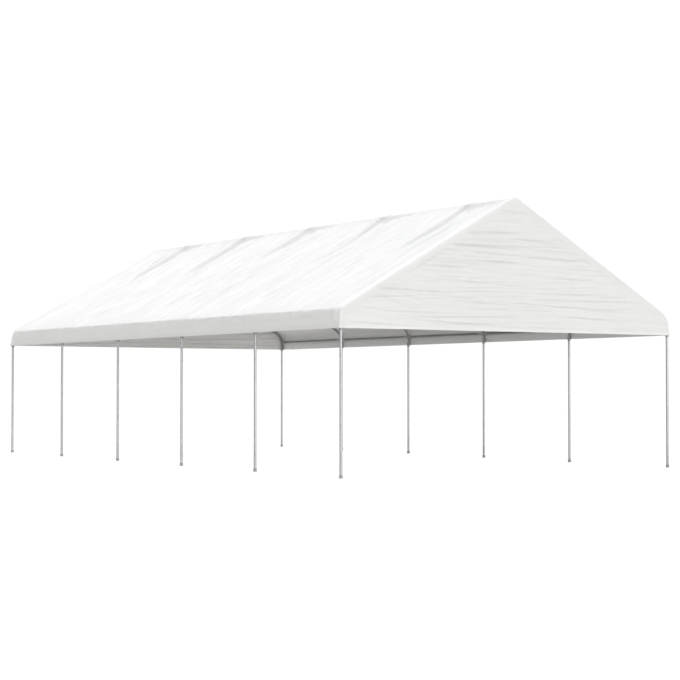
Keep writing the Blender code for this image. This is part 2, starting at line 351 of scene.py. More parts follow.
def ridge_folds(x, down, draw):
    """The fold that each bay gathers just past its middle, from the ridge halfway down."""
    pressed = np.zeros_like(x)
    for slope_side in (-1, 1):
        v = slope_side * down
        for number in range(BAYS):
            middle = -HALF_LENGTH + BAY_LENGTH * (number + 0.61 - 0.025 * number)
            drift = draw(0.03, 0.09)
            length = draw(1.45, 1.75)
            path = [(middle + 0.34, 0.045), (middle + 0.2, 0.07), (middle + 0.09, 0.115)]
            for step in range(9):
                down_here = 0.18 + (length - 0.18) * step / 8
                path.append((middle + 0.06 * (1 - step / 8) ** 3 - drift * down_here, down_here))
            pressed += crease(x, v, path, depth=0.1, wall=0.029, ease=0.22, roll=0.012, start=0.1)
            # Beside it the cloth drops steeply from the ridge
            path = [(middle + 0.05, 0.15), (middle + 0.3, 0.12), (middle + 0.75, 0.1)]
            path.append((middle + 1.2, 0.1))
            pressed += crease(x, v, path, depth=0.05, wall=0.2, ease=0.048, start=0.1)
            # Fine pleats that fan out from the ridge beside the fold
            for pleat in range(7):
                start = middle + 0.3 + 0.09 * pleat + draw(-0.02, 0.02)
                lean = 0.22 - 0.02 * pleat
                reach = draw(0.45, 1.1)
                path = [(start, 0.06)]
                path += [(start - lean * reach * part, part * reach) for part in (0.5, 1.0)]
                depth = draw(0.028, 0.052)
                pressed += crease(x, v, path, depth, wall=0.02, ease=0.04, start=0.08)
    return pressed


def slope_creases(x, down, draw):
    """Longer, fainter creases further down, leaning back a little as they run to the eave."""
    pressed = np.zeros_like(x)
    for slope_side in (-1, 1):
        for index in range(130):
            start = draw(-HALF_LENGTH + 0.2, HALF_LENGTH - 0.1)
            top = 0.08 + 2.3 * draw(0, 1) ** 1.5
            length = draw(0.5, 1.6)
            lean = draw(0.02, 0.2)
            depth = draw(0.008, 0.036)
            wall = draw(0.02, 0.036)
            path = [(start - lean * length * step / 4, top + length * step / 4) for step in range(5)]
            pressed += crease(x, slope_side * down, path, depth, wall, 2.2 * wall, 0.2 * depth, True)
    return pressed


def slope_streaks(x, down):
    """Fine streaks that run down the slope."""
    from_ridge = np.abs(down)
    leaning = x + 0.1 * from_ridge
    streaks = 0.0165 * soft_noise(leaning, down, 0.12, 1.3, 21)
    streaks += 0.0088 * soft_noise(leaning, down, 0.062, 0.7, 22)
    streaks += 0.013 * soft_noise(leaning, down, 0.45, 2.2, 23)
    fade = np.clip(from_ridge / 0.25, 0, 1) * np.clip((SHOULDER_START - from_ridge) / 0.25, 0.05, 1)
    return fade * streaks


def valance_relief(x, down, draw):
    """Waves, ribs and gathers of the valance, deepest at its free edge."""
    _, share = bay_share(x)
    from_ridge = np.abs(down)
    below = np.clip((from_ridge - SHOULDER_START) / (HALF_WIDTH - SHOULDER_START), 0, 1)

    # It waves a little between the posts. The doubled hem is stiffer and takes only long waves
    above_hem = np.clip((HALF_WIDTH - STIFF_HEM - from_ridge) / 0.014, 0, 1)
    waves = 0.008 * soft_noise(x, down, 0.4, 2.4, 31)
    waves += 0.0085 * above_hem * soft_noise(x, down, 0.12, 0.05, 32)
    waves += 0.008 * above_hem * soft_noise(x, down, 0.4, 0.03, 33)
    relief = waves * below * np.clip(np.sin(pi * share), 0, 1) ** 0.5

    # It is drawn in beside each post, which shows through it as an upright rib
    off_arch = np.minimum(share, 1 - share) * BAY_LENGTH
    beside_post = (1 - np.exp(-(off_arch / 0.05) ** 2)) * np.exp(-(off_arch / 0.3) ** 2)
    relief += 0.011 * below * beside_post

    # Short upright folds gather in it at each post, and more of them at both ends
    for slope_side in (-1, 1):
        on_side = down * slope_side > 0
        for arch in range(ARCHES):
            at_end = arch in (0, BAYS)
            for fold in range(7 if at_end else 3):
                offset = draw(0.05, 0.55 if at_end else 0.25)
                if arch == BAYS or (not at_end and draw(0, 1) < 0.5):
                    offset = -offset
                lean = draw(-0.12, 0.12)
                width = draw(0.018, 0.036)
                depth = draw(0.0035, 0.011)
                across = (x - arch_x(arch) - offset - lean * (1 - below)) / width
                relief -= on_side * depth * below ** 1.5 * np.exp(-across ** 2)
    return relief


def room_under(x, down):
    """How far the cloth can sink before it meets the arches, ridge purlins or eave purlins."""
    _, share = bay_share(x)
    from_ridge = np.abs(down)
    off_arch = np.minimum(share, 1 - share) * BAY_LENGTH
    room = 0.0003 + 0.9 * np.clip(off_arch - 0.026, 0, None)
    room = np.minimum(room, 0.0004 + 0.8 * np.clip(from_ridge - 0.03, 0, None))
    by_eave_purlin = from_ridge > SHOULDER_START + 0.3 * SHOULDER_ARC
    return np.minimum(room, np.where(by_eave_purlin, 0.006, 1.0))


def roof_hang(x, down):
    """How far the roof cloth stands in (minus) or out from its smooth section."""
    draw = np.random.default_rng(11).uniform
    inward = sag(x, down) + ridge_folds(x, down, draw) + slope_creases(x, down, draw)
    inward = inward + slope_streaks(x, down) + valance_relief(x, down, draw)
    room = room_under(x, down)
    sunk = room * (1 - np.exp(-np.clip(inward, 0, None) / room))
    raised = np.clip(inward, None, 0)
    before_end = np.clip((HALF_LENGTH - np.abs(x)) / 0.05, 0, 1)
    return -(sunk + raised) * before_end


def roof_surface(x, down, lift):
    """Points on the hung roof cloth, at a height over the tubes' axes."""
    y, z, y_out, z_out = section_at(down, lift, shoulder_bend(x, down))
    hang = roof_hang(x, down)
    return np.stack([x, y + y_out * hang, z + z_out * hang], -1)


def end_profile(out):
    """Places along X and heights for the roll of cloth over an end arch and its lip on the gable."""
    angle = np.linspace(0, pi / 2, 7)[1:]
    radius = END_ROLL + out
    x = np.concatenate([radius * np.sin(angle), [radius + 0.0006, radius + 0.0012]])
    lift = np.concatenate([radius * np.cos(angle), [-0.5 * END_LIP, -END_LIP]])
    return HALF_LENGTH + x, lift


def whole_length(out, every):
    """Places along the whole cover and heights there, with the roll over each end arch."""
    end_x, end_lift = end_profile(out)
    x = np.concatenate([-end_x[::-1], middle_x[::every], end_x])
    return x, np.concatenate([end_lift[::-1], middle_lift[::every], end_lift])


def place(name, mesh, node=None, where=(0, 0, 0), turn=0.0):
    """Puts a piece in place on the frame, in the stead of its CAD node where it has one."""
    piece = add_object(name, mesh)
    piece.location = where
    piece.rotation_euler = (0, 0, turn)
    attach(piece, "root")
    if node:
        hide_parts(node)
    return piece


def cloth_piece(name, points, flat_place, material, node=None):
    """A sheet of quads from a grid of points, with each point's place on the flat cloth as its UV."""
    rows, columns = points.shape[:2]
    mesh = bpy.data.meshes.new(name)
    corner = np.arange(rows * columns).reshape(rows, columns)
    quads = np.stack([corner[:-1, :-1], corner[:-1, 1:], corner[1:, 1:], corner[1:, :-1]], -1)
    quads = quads.reshape(-1, 4)
    mesh.from_pydata(points.reshape(-1, 3), [], quads)
    layer = mesh.uv_layers.new(name="flat cloth")
    layer.data.foreach_set("uv", flat_place.reshape(-1, 2)[quads.ravel()].ravel())
    mesh.shade_smooth()
    mesh.materials.append(material)
    return place(name, mesh, node)


def new_material(name):
    """A material, with its node tree, its main shader and the place on the piece."""
    material = bpy.data.materials.new(name)
    material.use_nodes = True
    tree = material.node_tree
    where = add_node(tree, "TexCoord").outputs["Object"]
    return material, tree, tree.nodes["Principled BSDF"], where


def two_tone(tree, value, shade, shade_at, light, light_at):
    """A ramp from the shade to the light colour."""
    ramp = add_node(tree, "ValToRGB", value)
    for stop, colour, position in zip(ramp.color_ramp.elements, (shade, light), (shade_at, light_at)):
        stop.position = position
        stop.color = (*colour, 1)
    return ramp.outputs["Color"]


def mix_colours(tree, factor, first, second, way="MIX"):
    """Two colours mixed or multiplied."""
    mix = add_node(tree, "Mix", settings={"data_type": "RGBA", "blend_type": way})
    feed(mix.inputs["Factor"], factor)
    feed(mix.inputs[6], first)
    feed(mix.inputs[7], second)
    return mix.outputs[2]


def noise(tree, where, scale, detail, roughness=0.5):
    """Cloudy noise between 0 and 1."""
    clouds = add_node(tree, "TexNoise", Vector=where, Scale=scale, Detail=detail, Roughness=roughness)
    return clouds.outputs["Fac"]


def bump_on(tree, height, distance, strength, under=None):
    """A bump from a height, on top of another bump."""
    bump = add_node(tree, "Bump", Height=height, Strength=strength, Distance=distance)
    if under:
        feed_all(bump, Normal=under)
    return bump.outputs["Normal"]


def woven_sheet(name, light, shade, through):
    """Coated flat-tape weave: faint cloudy whites, a fine weave and a soft crinkle.

    through is the share of the light that passes into the cloth and out behind it.
    """
    material, tree, shader, where = new_material(name)
    flat = add_node(tree, "TexCoord").outputs["UV"]
    clouds = noise(tree, where, 1.3, 5.0, 0.6)
    tapes = add_node(tree, "TexNoise", Vector=flat, Scale=90.0, Detail=2.0)
    whites = two_tone(tree, clouds, shade, 0.3, light, 0.68)
    tint = mix_colours(tree, 0.05, whites, tapes.outputs["Color"], "MULTIPLY")

    # Warp and weft tapes, 2.5 mm wide
    tape_rows = []
    for way in ("X", "Y"):
        bands = {"wave_type": "BANDS", "bands_direction": way}
        tape_rows.append(add_node(tree, "TexWave", settings=bands, Vector=flat, Scale=62.8))
    crossing = work_out(tree, "MAXIMUM", *[rows.outputs["Fac"] for rows in tape_rows])
    crinkle = noise(tree, where, 7.0, 8.0, 0.62)
    soft = bump_on(tree, crinkle, 0.012, 0.22)
    fine = bump_on(tree, crossing, 0.0004, 0.35, soft)
    coating = add_node(tree, "MapRange", Value=crinkle, To_Min=0.44, To_Max=0.6)
    feed_all(shader, Roughness=coating.outputs["Result"], Specular_IOR_Level=0.35, Normal=fine)

    # The inner face is darker than the outer one, as painted shade for the underside under the cover
    inner_face = add_node(tree, "NewGeometry").outputs["Backfacing"]
    feed_all(shader, Base_Color=mix_colours(tree, inner_face, tint, INNER_FACE_SHADE, "MULTIPLY"))

    behind = add_node(tree, "BsdfTranslucent", Color=(0.95, 0.95, 0.93, 1), Normal=fine)
    both = add_node(tree, "MixShader", through, shader.outputs[0], behind.outputs[0])
    feed_all(tree.nodes["Material Output"], Surface=both.outputs[0])
    return material


def spaced(stops, counts):
    """Places from stop to stop, with so many even ones in each stretch."""
    spans = zip(stops, stops[1:], counts)
    return np.concatenate([np.linspace(*span)[:-1] for span in spans] + [stops[-1:]])


roof_cloth = woven_sheet("roof weave", (0.93, 0.938, 0.932), (0.905, 0.915, 0.908), 0.07)

# Down the cloth: close rows by the ridge, where the folds are deepest, wider ones below
row_stops = [0, RIDGE_ARC, 0.3, 1.15, SHOULDER_START, VALANCE_START, HALF_WIDTH]
half_rows = spaced(row_stops, [5, 13, 17, 18, 7, 11])
roof_rows = np.concatenate([-half_rows[:0:-1], half_rows])

# Along the tent: even columns, then the roll over each end arch and the lip on the gable
middle_x = np.linspace(-HALF_LENGTH, HALF_LENGTH, 730)
near_end = np.clip((np.abs(middle_x) - HALF_LENGTH + 0.08) / 0.08, 0, 1)
middle_lift = COVER_LIFT + (END_ROLL - COVER_LIFT) * near_end
roof_x, roof_lift = whole_length(0.0, 1)
steps_along = np.hypot(np.diff(roof_x, prepend=roof_x[0]), np.diff(roof_lift, prepend=roof_lift[0]))
along_cloth = np.cumsum(steps_along)

x_grid, down_grid = np.meshgrid(roof_x, roof_rows)
roof_points = roof_surface(x_grid, down_grid, roof_lift)
along_grid = np.broadcast_to(along_cloth - along_cloth.mean(), x_grid.shape)
flat_place = np.stack([along_grid, down_grid], -1)
roof_sheet = cloth_piece("roof_sheet", roof_points, flat_place, roof_cloth, "roof_cover")

# Both long free edges are turned under and sewn twice, with stitches that stand a little out
HEM_SEAMS = (0.034, 0.029)
SEAM_LIFT = 0.0026
SEAM_POINTS = 400
STITCH_LENGTH = 0.006
STITCH_GAP = 0.002
THREAD_RADIUS = 0.0006

# The hem's fold, by height over the edge and distance out of the sheet
fold_up, fold_out = np.array([
    (0.04, 0.001), (0.0385, 0.0021), (0.02, 0.0025), (0.002, 0.0021), (0.0, 0.0012), (-0.001, 0.0),
    (0.0, -0.0012), (0.002, -0.0021), (0.0385, -0.0021), (0.04, -0.001),
]).T


def stitch_line(line, out):
    """The corners, six for each stitch, of stitches along a line of points.

    out points out of the cloth, the same way all along or at each of the points.
    """
    out = np.broadcast_to(out, line.shape)
    steps = np.linalg.norm(np.diff(line, axis=0), axis=1)
    distance = np.concatenate([[0.0], np.cumsum(steps)])
    pitch = STITCH_LENGTH + STITCH_GAP
    starts = np.arange(0.004, distance[-1] - pitch, pitch)

    def points_at(places, rows):
        return np.stack([np.interp(places, distance, rows[:, axis]) for axis in range(3)], axis=1)

    first = points_at(starts, line)
    last = points_at(starts + STITCH_LENGTH, line)
    out = points_at(starts, out)
    middle = (first + last) / 2
    across = np.cross(last - first, out)
    across = THREAD_RADIUS * across / np.linalg.norm(across, axis=1, keepdims=True)
    corners = [first - 0.0004 * out, last - 0.0004 * out]
    corners += [middle + 0.0008 * out, middle + across, middle - 0.0002 * out, middle - across]
    return np.stack(corners, axis=1)


def stitches(name, rows):
    """One piece from rows of stitches, each a slim spindle with two pointed ends."""
    corners = np.concatenate(rows)
    faces = []
    for end, order in ((0, 1), (1, -1)):
        for side in range(4):
            faces.append([end, 2 + side, 2 + (side + 1) % 4][::order])
    faces = (np.arange(len(corners))[:, None, None] * 6 + np.array(faces)).reshape(-1, 3)
    mesh = bpy.data.meshes.new(name)
    mesh.from_pydata(corners.reshape(-1, 3), [], faces)
    mesh.shade_smooth()
    mesh.materials.append(sewing_thread)
    return place(name, mesh)


def white_thread(name, colour, twist):
    """Twisted or braided thread: fine slanting bands in the colour and the surface."""
    material, tree, shader, where = new_material(name)
    slanting = {"bands_direction": "DIAGONAL"}
    strands = add_node(tree, "TexWave", settings=slanting, Vector=where, Scale=twist, Distortion=1.5)
    # Painted shade: the hollows between the strands are darker than the strands' tops
    hollow = (*[0.8 * part for part in colour], 1)
    strand = strands.outputs["Fac"]
    tone = mix_colours(tree, strand, hollow, (*colour, 1))
    lay = bump_on(tree, strand, 0.0004, 0.5)
    fluff = bump_on(tree, noise(tree, where, 260.0, 3.0), 0.0002, 0.3, lay)
    feed_all(shader, Base_Color=tone, Roughness=0.8, Sheen_Weight=0.2, Normal=fluff)
    return material


sewing_thread = white_thread("sewing thread", (0.9, 0.9, 0.88), 300.0)
sewn_on = []
thread_rows = []
hem_x, hem_lift = whole_length(0.0012, 2)
for name, side in LONG_SIDES:
    x_hem, down_hem = np.meshgrid(hem_x, side * (HALF_WIDTH - fold_up))
    points = roof_surface(x_hem, down_hem, hem_lift[None, :] + fold_out[:, None])
    flat_place = np.stack([x_hem, down_hem], -1)
    hem = cloth_piece("roof_hem_" + name, points[::side], flat_place[::side], roof_cloth)
    hem.data.set_sharp_from_angle(angle=radians(20))
    sewn_on.append(hem)
    x_line = np.linspace(-HALF_LENGTH, HALF_LENGTH, SEAM_POINTS)
    for up_line in HEM_SEAMS:
        down_line = np.full(SEAM_POINTS, side * (HALF_WIDTH - up_line))
        line = roof_surface(x_line, down_line, COVER_LIFT + SEAM_LIFT)
        thread_rows.append(stitch_line(line, [0.0, side, 0.0]))

# A doubled band runs along both rakes and over the end arch. Its whites are lighter than the roof's:
# partly the doubled cloth, which lets less light through, and partly a painted highlight along the rake
BAND_LIFT = 0.0014
BAND_EDGE_LIFT = 0.0002
BAND_SEAMS = (0.01, 0.016)
BAND_SEAM_LIFT = 0.0016

# Painted highlight, in part: this weave is whiter than the roof weave
highlit_doubled_cloth = woven_sheet("doubled weave with painted highlight", (0.975, 0.98, 0.975), (0.96, 0.965, 0.96), 0.03)
rake_x, rake_lift = end_profile(BAND_LIFT)
flat_x = np.linspace(HALF_LENGTH - RAKE_BAND, HALF_LENGTH, 7)
flat_lift = np.interp(flat_x, middle_x, middle_lift) + np.array([BAND_EDGE_LIFT] + [BAND_LIFT] * 6)
band_x = np.concatenate([flat_x, rake_x[:-2]])
band_lift = np.concatenate([flat_lift, rake_lift[:-2]])
for name, side in (("rear", -1), ("front", 1)):
    down_band, x_band = np.meshgrid(roof_rows, side * band_x)
    points = roof_surface(x_band, down_band, band_lift[:, None])[::-side]
    flat_place = np.stack([x_band, down_band], -1)[::-side]
    sewn_on.append(cloth_piece("rake_band_" + name, points, flat_place, highlit_doubled_cloth))
    for inset in BAND_SEAMS:
        x_line = np.full(len(roof_rows), side * (HALF_LENGTH - RAKE_BAND + inset))
        line = roof_surface(x_line, roof_rows, COVER_LIFT + BAND_SEAM_LIFT)
        _, _, y_out, z_out = section_at(roof_rows, COVER_LIFT, shoulder_bend(x_line, roof_rows))
        out = np.stack([np.zeros_like(y_out), y_out, z_out], -1)
        thread_rows.append(stitch_line(line, out))

sewn_on.append(stitches("roof_stitches", thread_rows))


# Gables
# Each end is closed by a flat sheet of the same weave, sewn under the roof cover's lip and left
# free at the bottom. It hangs from its edges, so it falls in long level wrinkles.
GABLE_OFFSET = 0.0222
GABLE_SEAM_POINTS = 240


def gable_wrinkles(y, z, top, seed):
    """How far the gable cloth stands out, with long level wrinkles and slanting ones by the rakes."""
    draw = np.random.default_rng(seed).uniform
    out = 0.02 * soft_noise(y, z, 1.6, 0.36, seed + 1)
    out += 0.0105 * soft_noise(y, z, 1.1, 0.1, seed + 2)
    out += 0.005 * soft_noise(y, z, 0.6, 0.052, seed + 3)
    for index in range(140):
        height = HEM_HEIGHT + 0.05 + 1.68 * draw(0, 1)
        half_span = (PEAK_HEIGHT - height) / tan(ROOF_PITCH) * 0.95
        length = draw(1.1, 4.2) * min(1.0, half_span / 1.1)
        middle = draw(-half_span, half_span)
        slant = draw(-0.05, 0.05)
        path = []
        for step in range(9):
            along = (step / 8 - 0.5) * length
            bow = draw(-0.004, 0.004)
            path.append((-(height + slant * along + bow), middle + along))
        depth = draw(0.003, 0.0125)
        out -= crease(-z, y, path, depth, wall=0.0115, ease=0.02, roll=0.3 * depth, both_ends=True)
    # Wrinkles that run in and down from both rakes, where the cloth is pulled over the arch
    for side in (-1, 1):
        for index in range(9):
            from_post = 0.22 + 0.22 * index + draw(-0.05, 0.05)
            height = CORNER_HEIGHT + from_post * tan(ROOF_PITCH) - 0.05
            fall = draw(0.1, 0.32)
            length = draw(0.45, 0.95)
            path = []
            for step in range(5):
                along = length * step / 4
                path.append((-(height - fall * along), side * (POST_Y - from_post - along)))
            depth = draw(0.008, 0.015)
            out -= crease(-z, y, path, depth, wall=0.018, ease=0.024, start=0.1)
    # It lies against the arch and the posts, so there its wrinkles can only stand out
    under_rafter = (PEAK_HEIGHT - z) * cos(ROOF_PITCH) - np.abs(y) * sin(ROOF_PITCH)
    free = np.clip((np.minimum(under_rafter, POST_Y - np.abs(y)) - 0.058) / 0.05, 0, 1)
    off_edge = np.clip((top - z - END_LIP) / 0.06, 0, 1)
    return (np.clip(out, 0, None) + free * np.clip(out, None, 0)) * off_edge ** 0.7


def gable_sheet(end, side, seed):
    """A gable sheet, from its free hem up to the section of the cover."""
    curve_down = spaced([0, SHOULDER_START, VALANCE_START, HALF_WIDTH], [120, 24, 5])
    down = np.concatenate([-curve_down[:0:-1], curve_down])
    edge_bend = shoulder_bend(side * HALF_LENGTH, down)
    edge_y, edge_z, _, _ = section_at(down, COVER_LIFT - 0.0007, edge_bend)
    rise = np.linspace(0, 1, 225)
    y = np.broadcast_to(edge_y, (len(rise), len(down)))
    z = HEM_HEIGHT + rise[:, None] * (edge_z - HEM_HEIGHT)[None, :]
    out = gable_wrinkles(y, z, edge_z, seed)
    points = np.stack([side * (HALF_LENGTH + GABLE_OFFSET + out), y, z], -1)
    points = points[:, ::side]
    name = end + "_gable"
    return cloth_piece(name + "_sheet", points, points[..., 1:], gable_cloth, name)


gable_cloth = woven_sheet("gable weave", (0.93, 0.932, 0.925), (0.91, 0.912, 0.905), 0.13)
gable_hem_cloth = woven_sheet("gable hem weave", (0.955, 0.955, 0.94), (0.935, 0.935, 0.92), 0.02)
edge_down = np.linspace(-HALF_WIDTH, HALF_WIDTH, 801)
for end, side, seed in (("front", 1, 51), ("rear", -1, 61)):
    edge_y, edge_z, _, _ = section_at(edge_down, COVER_LIFT, shoulder_bend(side * HALF_LENGTH, edge_down))
    sheet = gable_sheet(end, side, seed)

    # Its free bottom edge is turned under and sewn like the roof's
    y_line = np.linspace(-edge_y[-1], edge_y[-1], GABLE_SEAM_POINTS)
    y_hem, up_hem = np.meshgrid(y_line, fold_up)
    z_hem = HEM_HEIGHT + up_hem
    wrinkles = gable_wrinkles(y_hem, z_hem, PEAK_HEIGHT, seed)
    away = GABLE_OFFSET + wrinkles + fold_out[:, None]
    points = np.stack([side * (HALF_LENGTH + away), y_hem, z_hem], -1)[::-side]
    hem = cloth_piece(end + "_gable_hem", points, points[..., 1:], gable_hem_cloth)
    rows = []
    for up_line in HEM_SEAMS:
        z_line = np.full(GABLE_SEAM_POINTS, HEM_HEIGHT + up_line)
        wrinkles = gable_wrinkles(y_line, z_line, PEAK_HEIGHT, seed)
        x_line = side * (HALF_LENGTH + GABLE_OFFSET + SEAM_LIFT + wrinkles)
        line = np.stack([x_line, y_line, z_line], -1)
        rows.append(stitch_line(line, [side, 0.0, 0.0]))
    sewn_on = [hem, stitches(end + "_gable_stitches", rows)]


# Posts
# Lengths of galvanised steel tube, 38 mm across, that stand upright under the eave connectors.
# Each is pushed up into its connector's socket and pinched there by a bolt.
TUBE_RADIUS = 0.019
TUBE_WALL = 0.0015
TUBE_MOUTH = 0.03
TUBE_SIDES = 32
CUT_EDGE = 0.0004
SEAT_GAP = 0.0003
SOCKET_DEPTH = 0.09
POST_SOCKET_END = 1.935
POST_BOTTOM = 0.004
POST_TOP = POST_SOCKET_END + SOCKET_DEPTH - SEAT_GAP


def swept_tube(rings, closed=False, sides=TUBE_SIDES):
    """Rings of (centre, direction, radius) skinned into one round surface."""
    shape = bmesh.new()
    rows = []
    for centre, direction, radius in rings:
        across = Vector((1, 0, 0)) if abs(direction.x) < 0.7 else Vector((0, 0, 1))
        side_way = direction.cross(across).normalized()
        up_way = side_way.cross(direction).normalized()
        row = []
        for step in range(sides):
            angle = 2 * pi * step / sides
            spoke = side_way * cos(angle) + up_way * sin(angle)
            row.append(shape.verts.new(centre + spoke * radius))
        rows.append(row)
    if closed:
        rows.append(rows[0])
    for lower, upper in zip(rows, rows[1:]):
        for step in range(sides):
            after = (step + 1) % sides
            shape.faces.new((lower[step], lower[after], upper[after], upper[step]))
    return shape


def tube_rings(path, radius=TUBE_RADIUS, wall=TUBE_WALL, mouth=TUBE_MOUTH):
    """Rings for a hollow tube along a path, with its cut ends turned in by one wall thickness."""
    last = len(path) - 1
    rings = []
    for index, point in enumerate(path):
        direction = (path[min(index + 1, last)] - path[max(index - 1, 0)]).normalized()
        if 0 < index < last:
            rings.append((point, direction, radius))
            continue
        inward = direction if index == 0 else -direction
        cut_end = [(mouth, radius - wall), (0, radius - wall), (0, radius - CUT_EDGE), (CUT_EDGE, radius)]
        for depth, reach in cut_end if index == 0 else cut_end[::-1]:
            rings.append((point + inward * depth, direction, reach))
    return rings


def closed_cord(points, radius, ripple=0.0, sides=10):
    """A round cord along a closed curve, with every second ring thicker by the ripple."""
    rings = []
    for index, point in enumerate(points):
        direction = (points[(index + 1) % len(points)] - points[index - 1]).normalized()
        rings.append((point, direction, radius + ripple * (index % 2)))
    return swept_tube(rings, closed=True, sides=sides)


def mesh_of(name, shapes, materials):
    """One mesh from several bmesh shapes, each with its own material number."""
    whole = bmesh.new()
    for shape, number in shapes:
        for face in shape.faces:
            face.material_index = number
        piece = bpy.data.meshes.new("piece")
        shape.to_mesh(piece)
        shape.free()
        whole.from_mesh(piece)
        bpy.data.meshes.remove(piece)
    bmesh.ops.recalc_face_normals(whole, faces=whole.faces)
    mesh = bpy.data.meshes.new(name)
    whole.to_mesh(mesh)
    whole.free()
    for material in materials:
        mesh.materials.append(material)
    mesh.shade_smooth()
    mesh.set_sharp_from_angle(angle=radians(38))
    return mesh


def straight_tube(name, start, end, steel):
    """A cut length of tube."""
    return mesh_of(name, [(swept_tube(tube_rings([start, end])), 0)], [steel])


def at_posts(y, z):
    """Number, place and turn of what stands at each arch. The near side is turned half round."""
    for row, side in LONG_SIDES:
        for arch in range(ARCHES):
            yield row + "_" + str(arch + 1), (arch_x(arch), side * y, z), pi * (1 - side) / 2


def zinc_steel(name, light, shade, roughness):
    """Hot-dip galvanised steel: cloudy grey with a faint spangle in the tone and the surface."""
    material, tree, shader, where = new_material(name)
    spangle = add_node(tree, "TexVoronoi", Vector=where, Scale=70.0).outputs
    clouds = noise(tree, where, 9.0, 4.0)
    zinc = two_tone(tree, clouds, shade, 0.3, light, 0.7)
    flake = add_node(tree, "RGBToBW", spangle["Color"])
    tone = mix_colours(tree, 0.1, zinc, flake.outputs[0])
    gloss = add_node(tree, "MapRange", Value=clouds, To_Min=roughness - 0.06, To_Max=roughness + 0.08)
    edges = bump_on(tree, spangle["Distance"], 0.0004, 0.12)
    feed_all(shader, Base_Color=tone, Metallic=1.0, Roughness=gloss.outputs["Result"], Normal=edges)
    return material


tube_steel = zinc_steel("galvanised tube", (0.66, 0.67, 0.68), (0.56, 0.57, 0.58), 0.32)
up = Vector((0, 0, 1))
post_mesh = straight_tube("post tube", up * POST_BOTTOM, up * POST_TOP, tube_steel)
for number, foot, turn in at_posts(POST_Y, 0):
    place("post_tube_" + number, post_mesh, "post_" + number, foot, turn)


# Foot caps
# A grey moulded plastic cap is pushed over the bottom of each post. It closes the tube and
# spreads the post's load on the ground.
CAP_RADIUS = 0.026
CAP_HEIGHT = 0.045


def moulded_plastic(name, colour):
    """Moulded plastic with a fine eroded grain and faint scuffs."""
    material, tree, shader, where = new_material(name)
    grain = noise(tree, where, 420.0, 3.0)
    scuffs = noise(tree, where, 30.0, 5.0)
    scuffed = (*[0.82 * part for part in colour], 1)
    tone = mix_colours(tree, scuffs, (*colour, 1), scuffed)
    skin = bump_on(tree, grain, 0.0003, 0.3)
    feed_all(shader, Base_Color=tone, Roughness=0.55, Normal=skin)
    return material


cap_plastic = moulded_plastic("cap plastic", (0.46, 0.46, 0.46))

# The cap's outside from the middle of its sole to its rim, by height and radius
cap_profile = [
    (0.0, 0.001), (0.0, CAP_RADIUS - 0.003), (0.0008, CAP_RADIUS - 0.0012), (0.0025, CAP_RADIUS),
    (0.01, CAP_RADIUS), (0.0115, CAP_RADIUS - 0.0012), (0.04, CAP_RADIUS - 0.0026),
    (0.0435, CAP_RADIUS - 0.0034), (CAP_HEIGHT, CAP_RADIUS - 0.0048), (CAP_HEIGHT, TUBE_RADIUS + 0.0002),
    (CAP_HEIGHT - 0.004, TUBE_RADIUS + 0.0001),
]
cap_rings = [(up * height, up, radius) for height, radius in cap_profile]
cap_mesh = mesh_of("foot cap", [(swept_tube(cap_rings), 0)], [cap_plastic])
for number, foot, turn in at_posts(POST_Y, 0):
    place("foot_cap_" + number, cap_mesh, where=foot)


# Eave connectors
# A bent steel tube from post to rafter, with a short sleeve welded to it for each eave purlin.
# Each socket pinches its tube with a hex bolt in a welded nut, and the whole is galvanised.
SOCKET_RADIUS = 0.0215
SOCKET_WALL = 0.0022
SOCKET_LEG = 0.12
PURLIN_HEIGHT = 2.11
PURLIN_INSET = 0.003
SLEEVE_ROOT = 0.008
SLEEVE_REACH = 0.125
BOLT_INSET = 0.045
POST_BOLT_RISE = 0.021
BEAD_STEPS = 48
BEAD_RADIUS = 0.0026
BEAD_RIPPLE = 0.0004
BEAD_GROUND = 0.004
ELBOW_STEPS = 14
SLEEVE_SETS = ((1,), (-1, 1), (-1,))

along = Vector((1, 0, 0))
down_slope = Vector((0, cos(ROOF_PITCH), -sin(ROOF_PITCH)))
under_slope = Vector((0, -sin(ROOF_PITCH), -cos(ROOF_PITCH)))
purlin_rise = (PURLIN_HEIGHT - BEND_HEIGHT) / ELBOW_BEND
PURLIN_Y = POST_Y - ELBOW_BEND * (1 - sqrt(1 - purlin_rise ** 2)) - PURLIN_INSET


def bored_tube(path):
    """A tube along a path with a socket bored in each end."""
    return swept_tube(tube_rings(path, SOCKET_RADIUS, SOCKET_WALL, SOCKET_DEPTH - 0.001))


def weld_bead(centre, way, lean):
    """The bead where a sleeve meets the leg, which leans by that angle from upright.

    Its top is ground down, so that the cloth lies smoothly over it.
    """
    points = []
    for step in range(BEAD_STEPS):
        turn = 2 * pi * step / BEAD_STEPS
        out = SOCKET_RADIUS * sqrt(sin(turn - lean) ** 2 + 0.01)
        ground = BEAD_GROUND * max(0.0, sin(turn)) ** 4
        around = Vector((0, cos(turn), sin(turn))) * (SOCKET_RADIUS + 0.0006 - ground)
        points.append(centre + along * way * out + around)
    return closed_cord(points, BEAD_RADIUS, BEAD_RIPPLE, sides=8)


def pinch_bolt(foot, out):
    """A welded hex nut with a hex bolt in it. Their outlines go by distance out and radius."""
    nut = [(-0.001, 0.0078), (0.005, 0.0078), (0.006, 0.0068), (0.006, 0.003)]
    shank = [(0.0055, 0.003), (0.009, 0.003)]
    head = [(0.009, 0.003), (0.009, 0.0072), (0.0125, 0.0072), (0.0135, 0.0062), (0.0135, 0.0004)]
    shapes = []
    for profile, sides in ((nut, 6), (shank, 12), (head, 6)):
        rings = [(foot + out * height, out, radius) for height, radius in profile]
        shapes.append(swept_tube(rings, sides=sides))
    return shapes


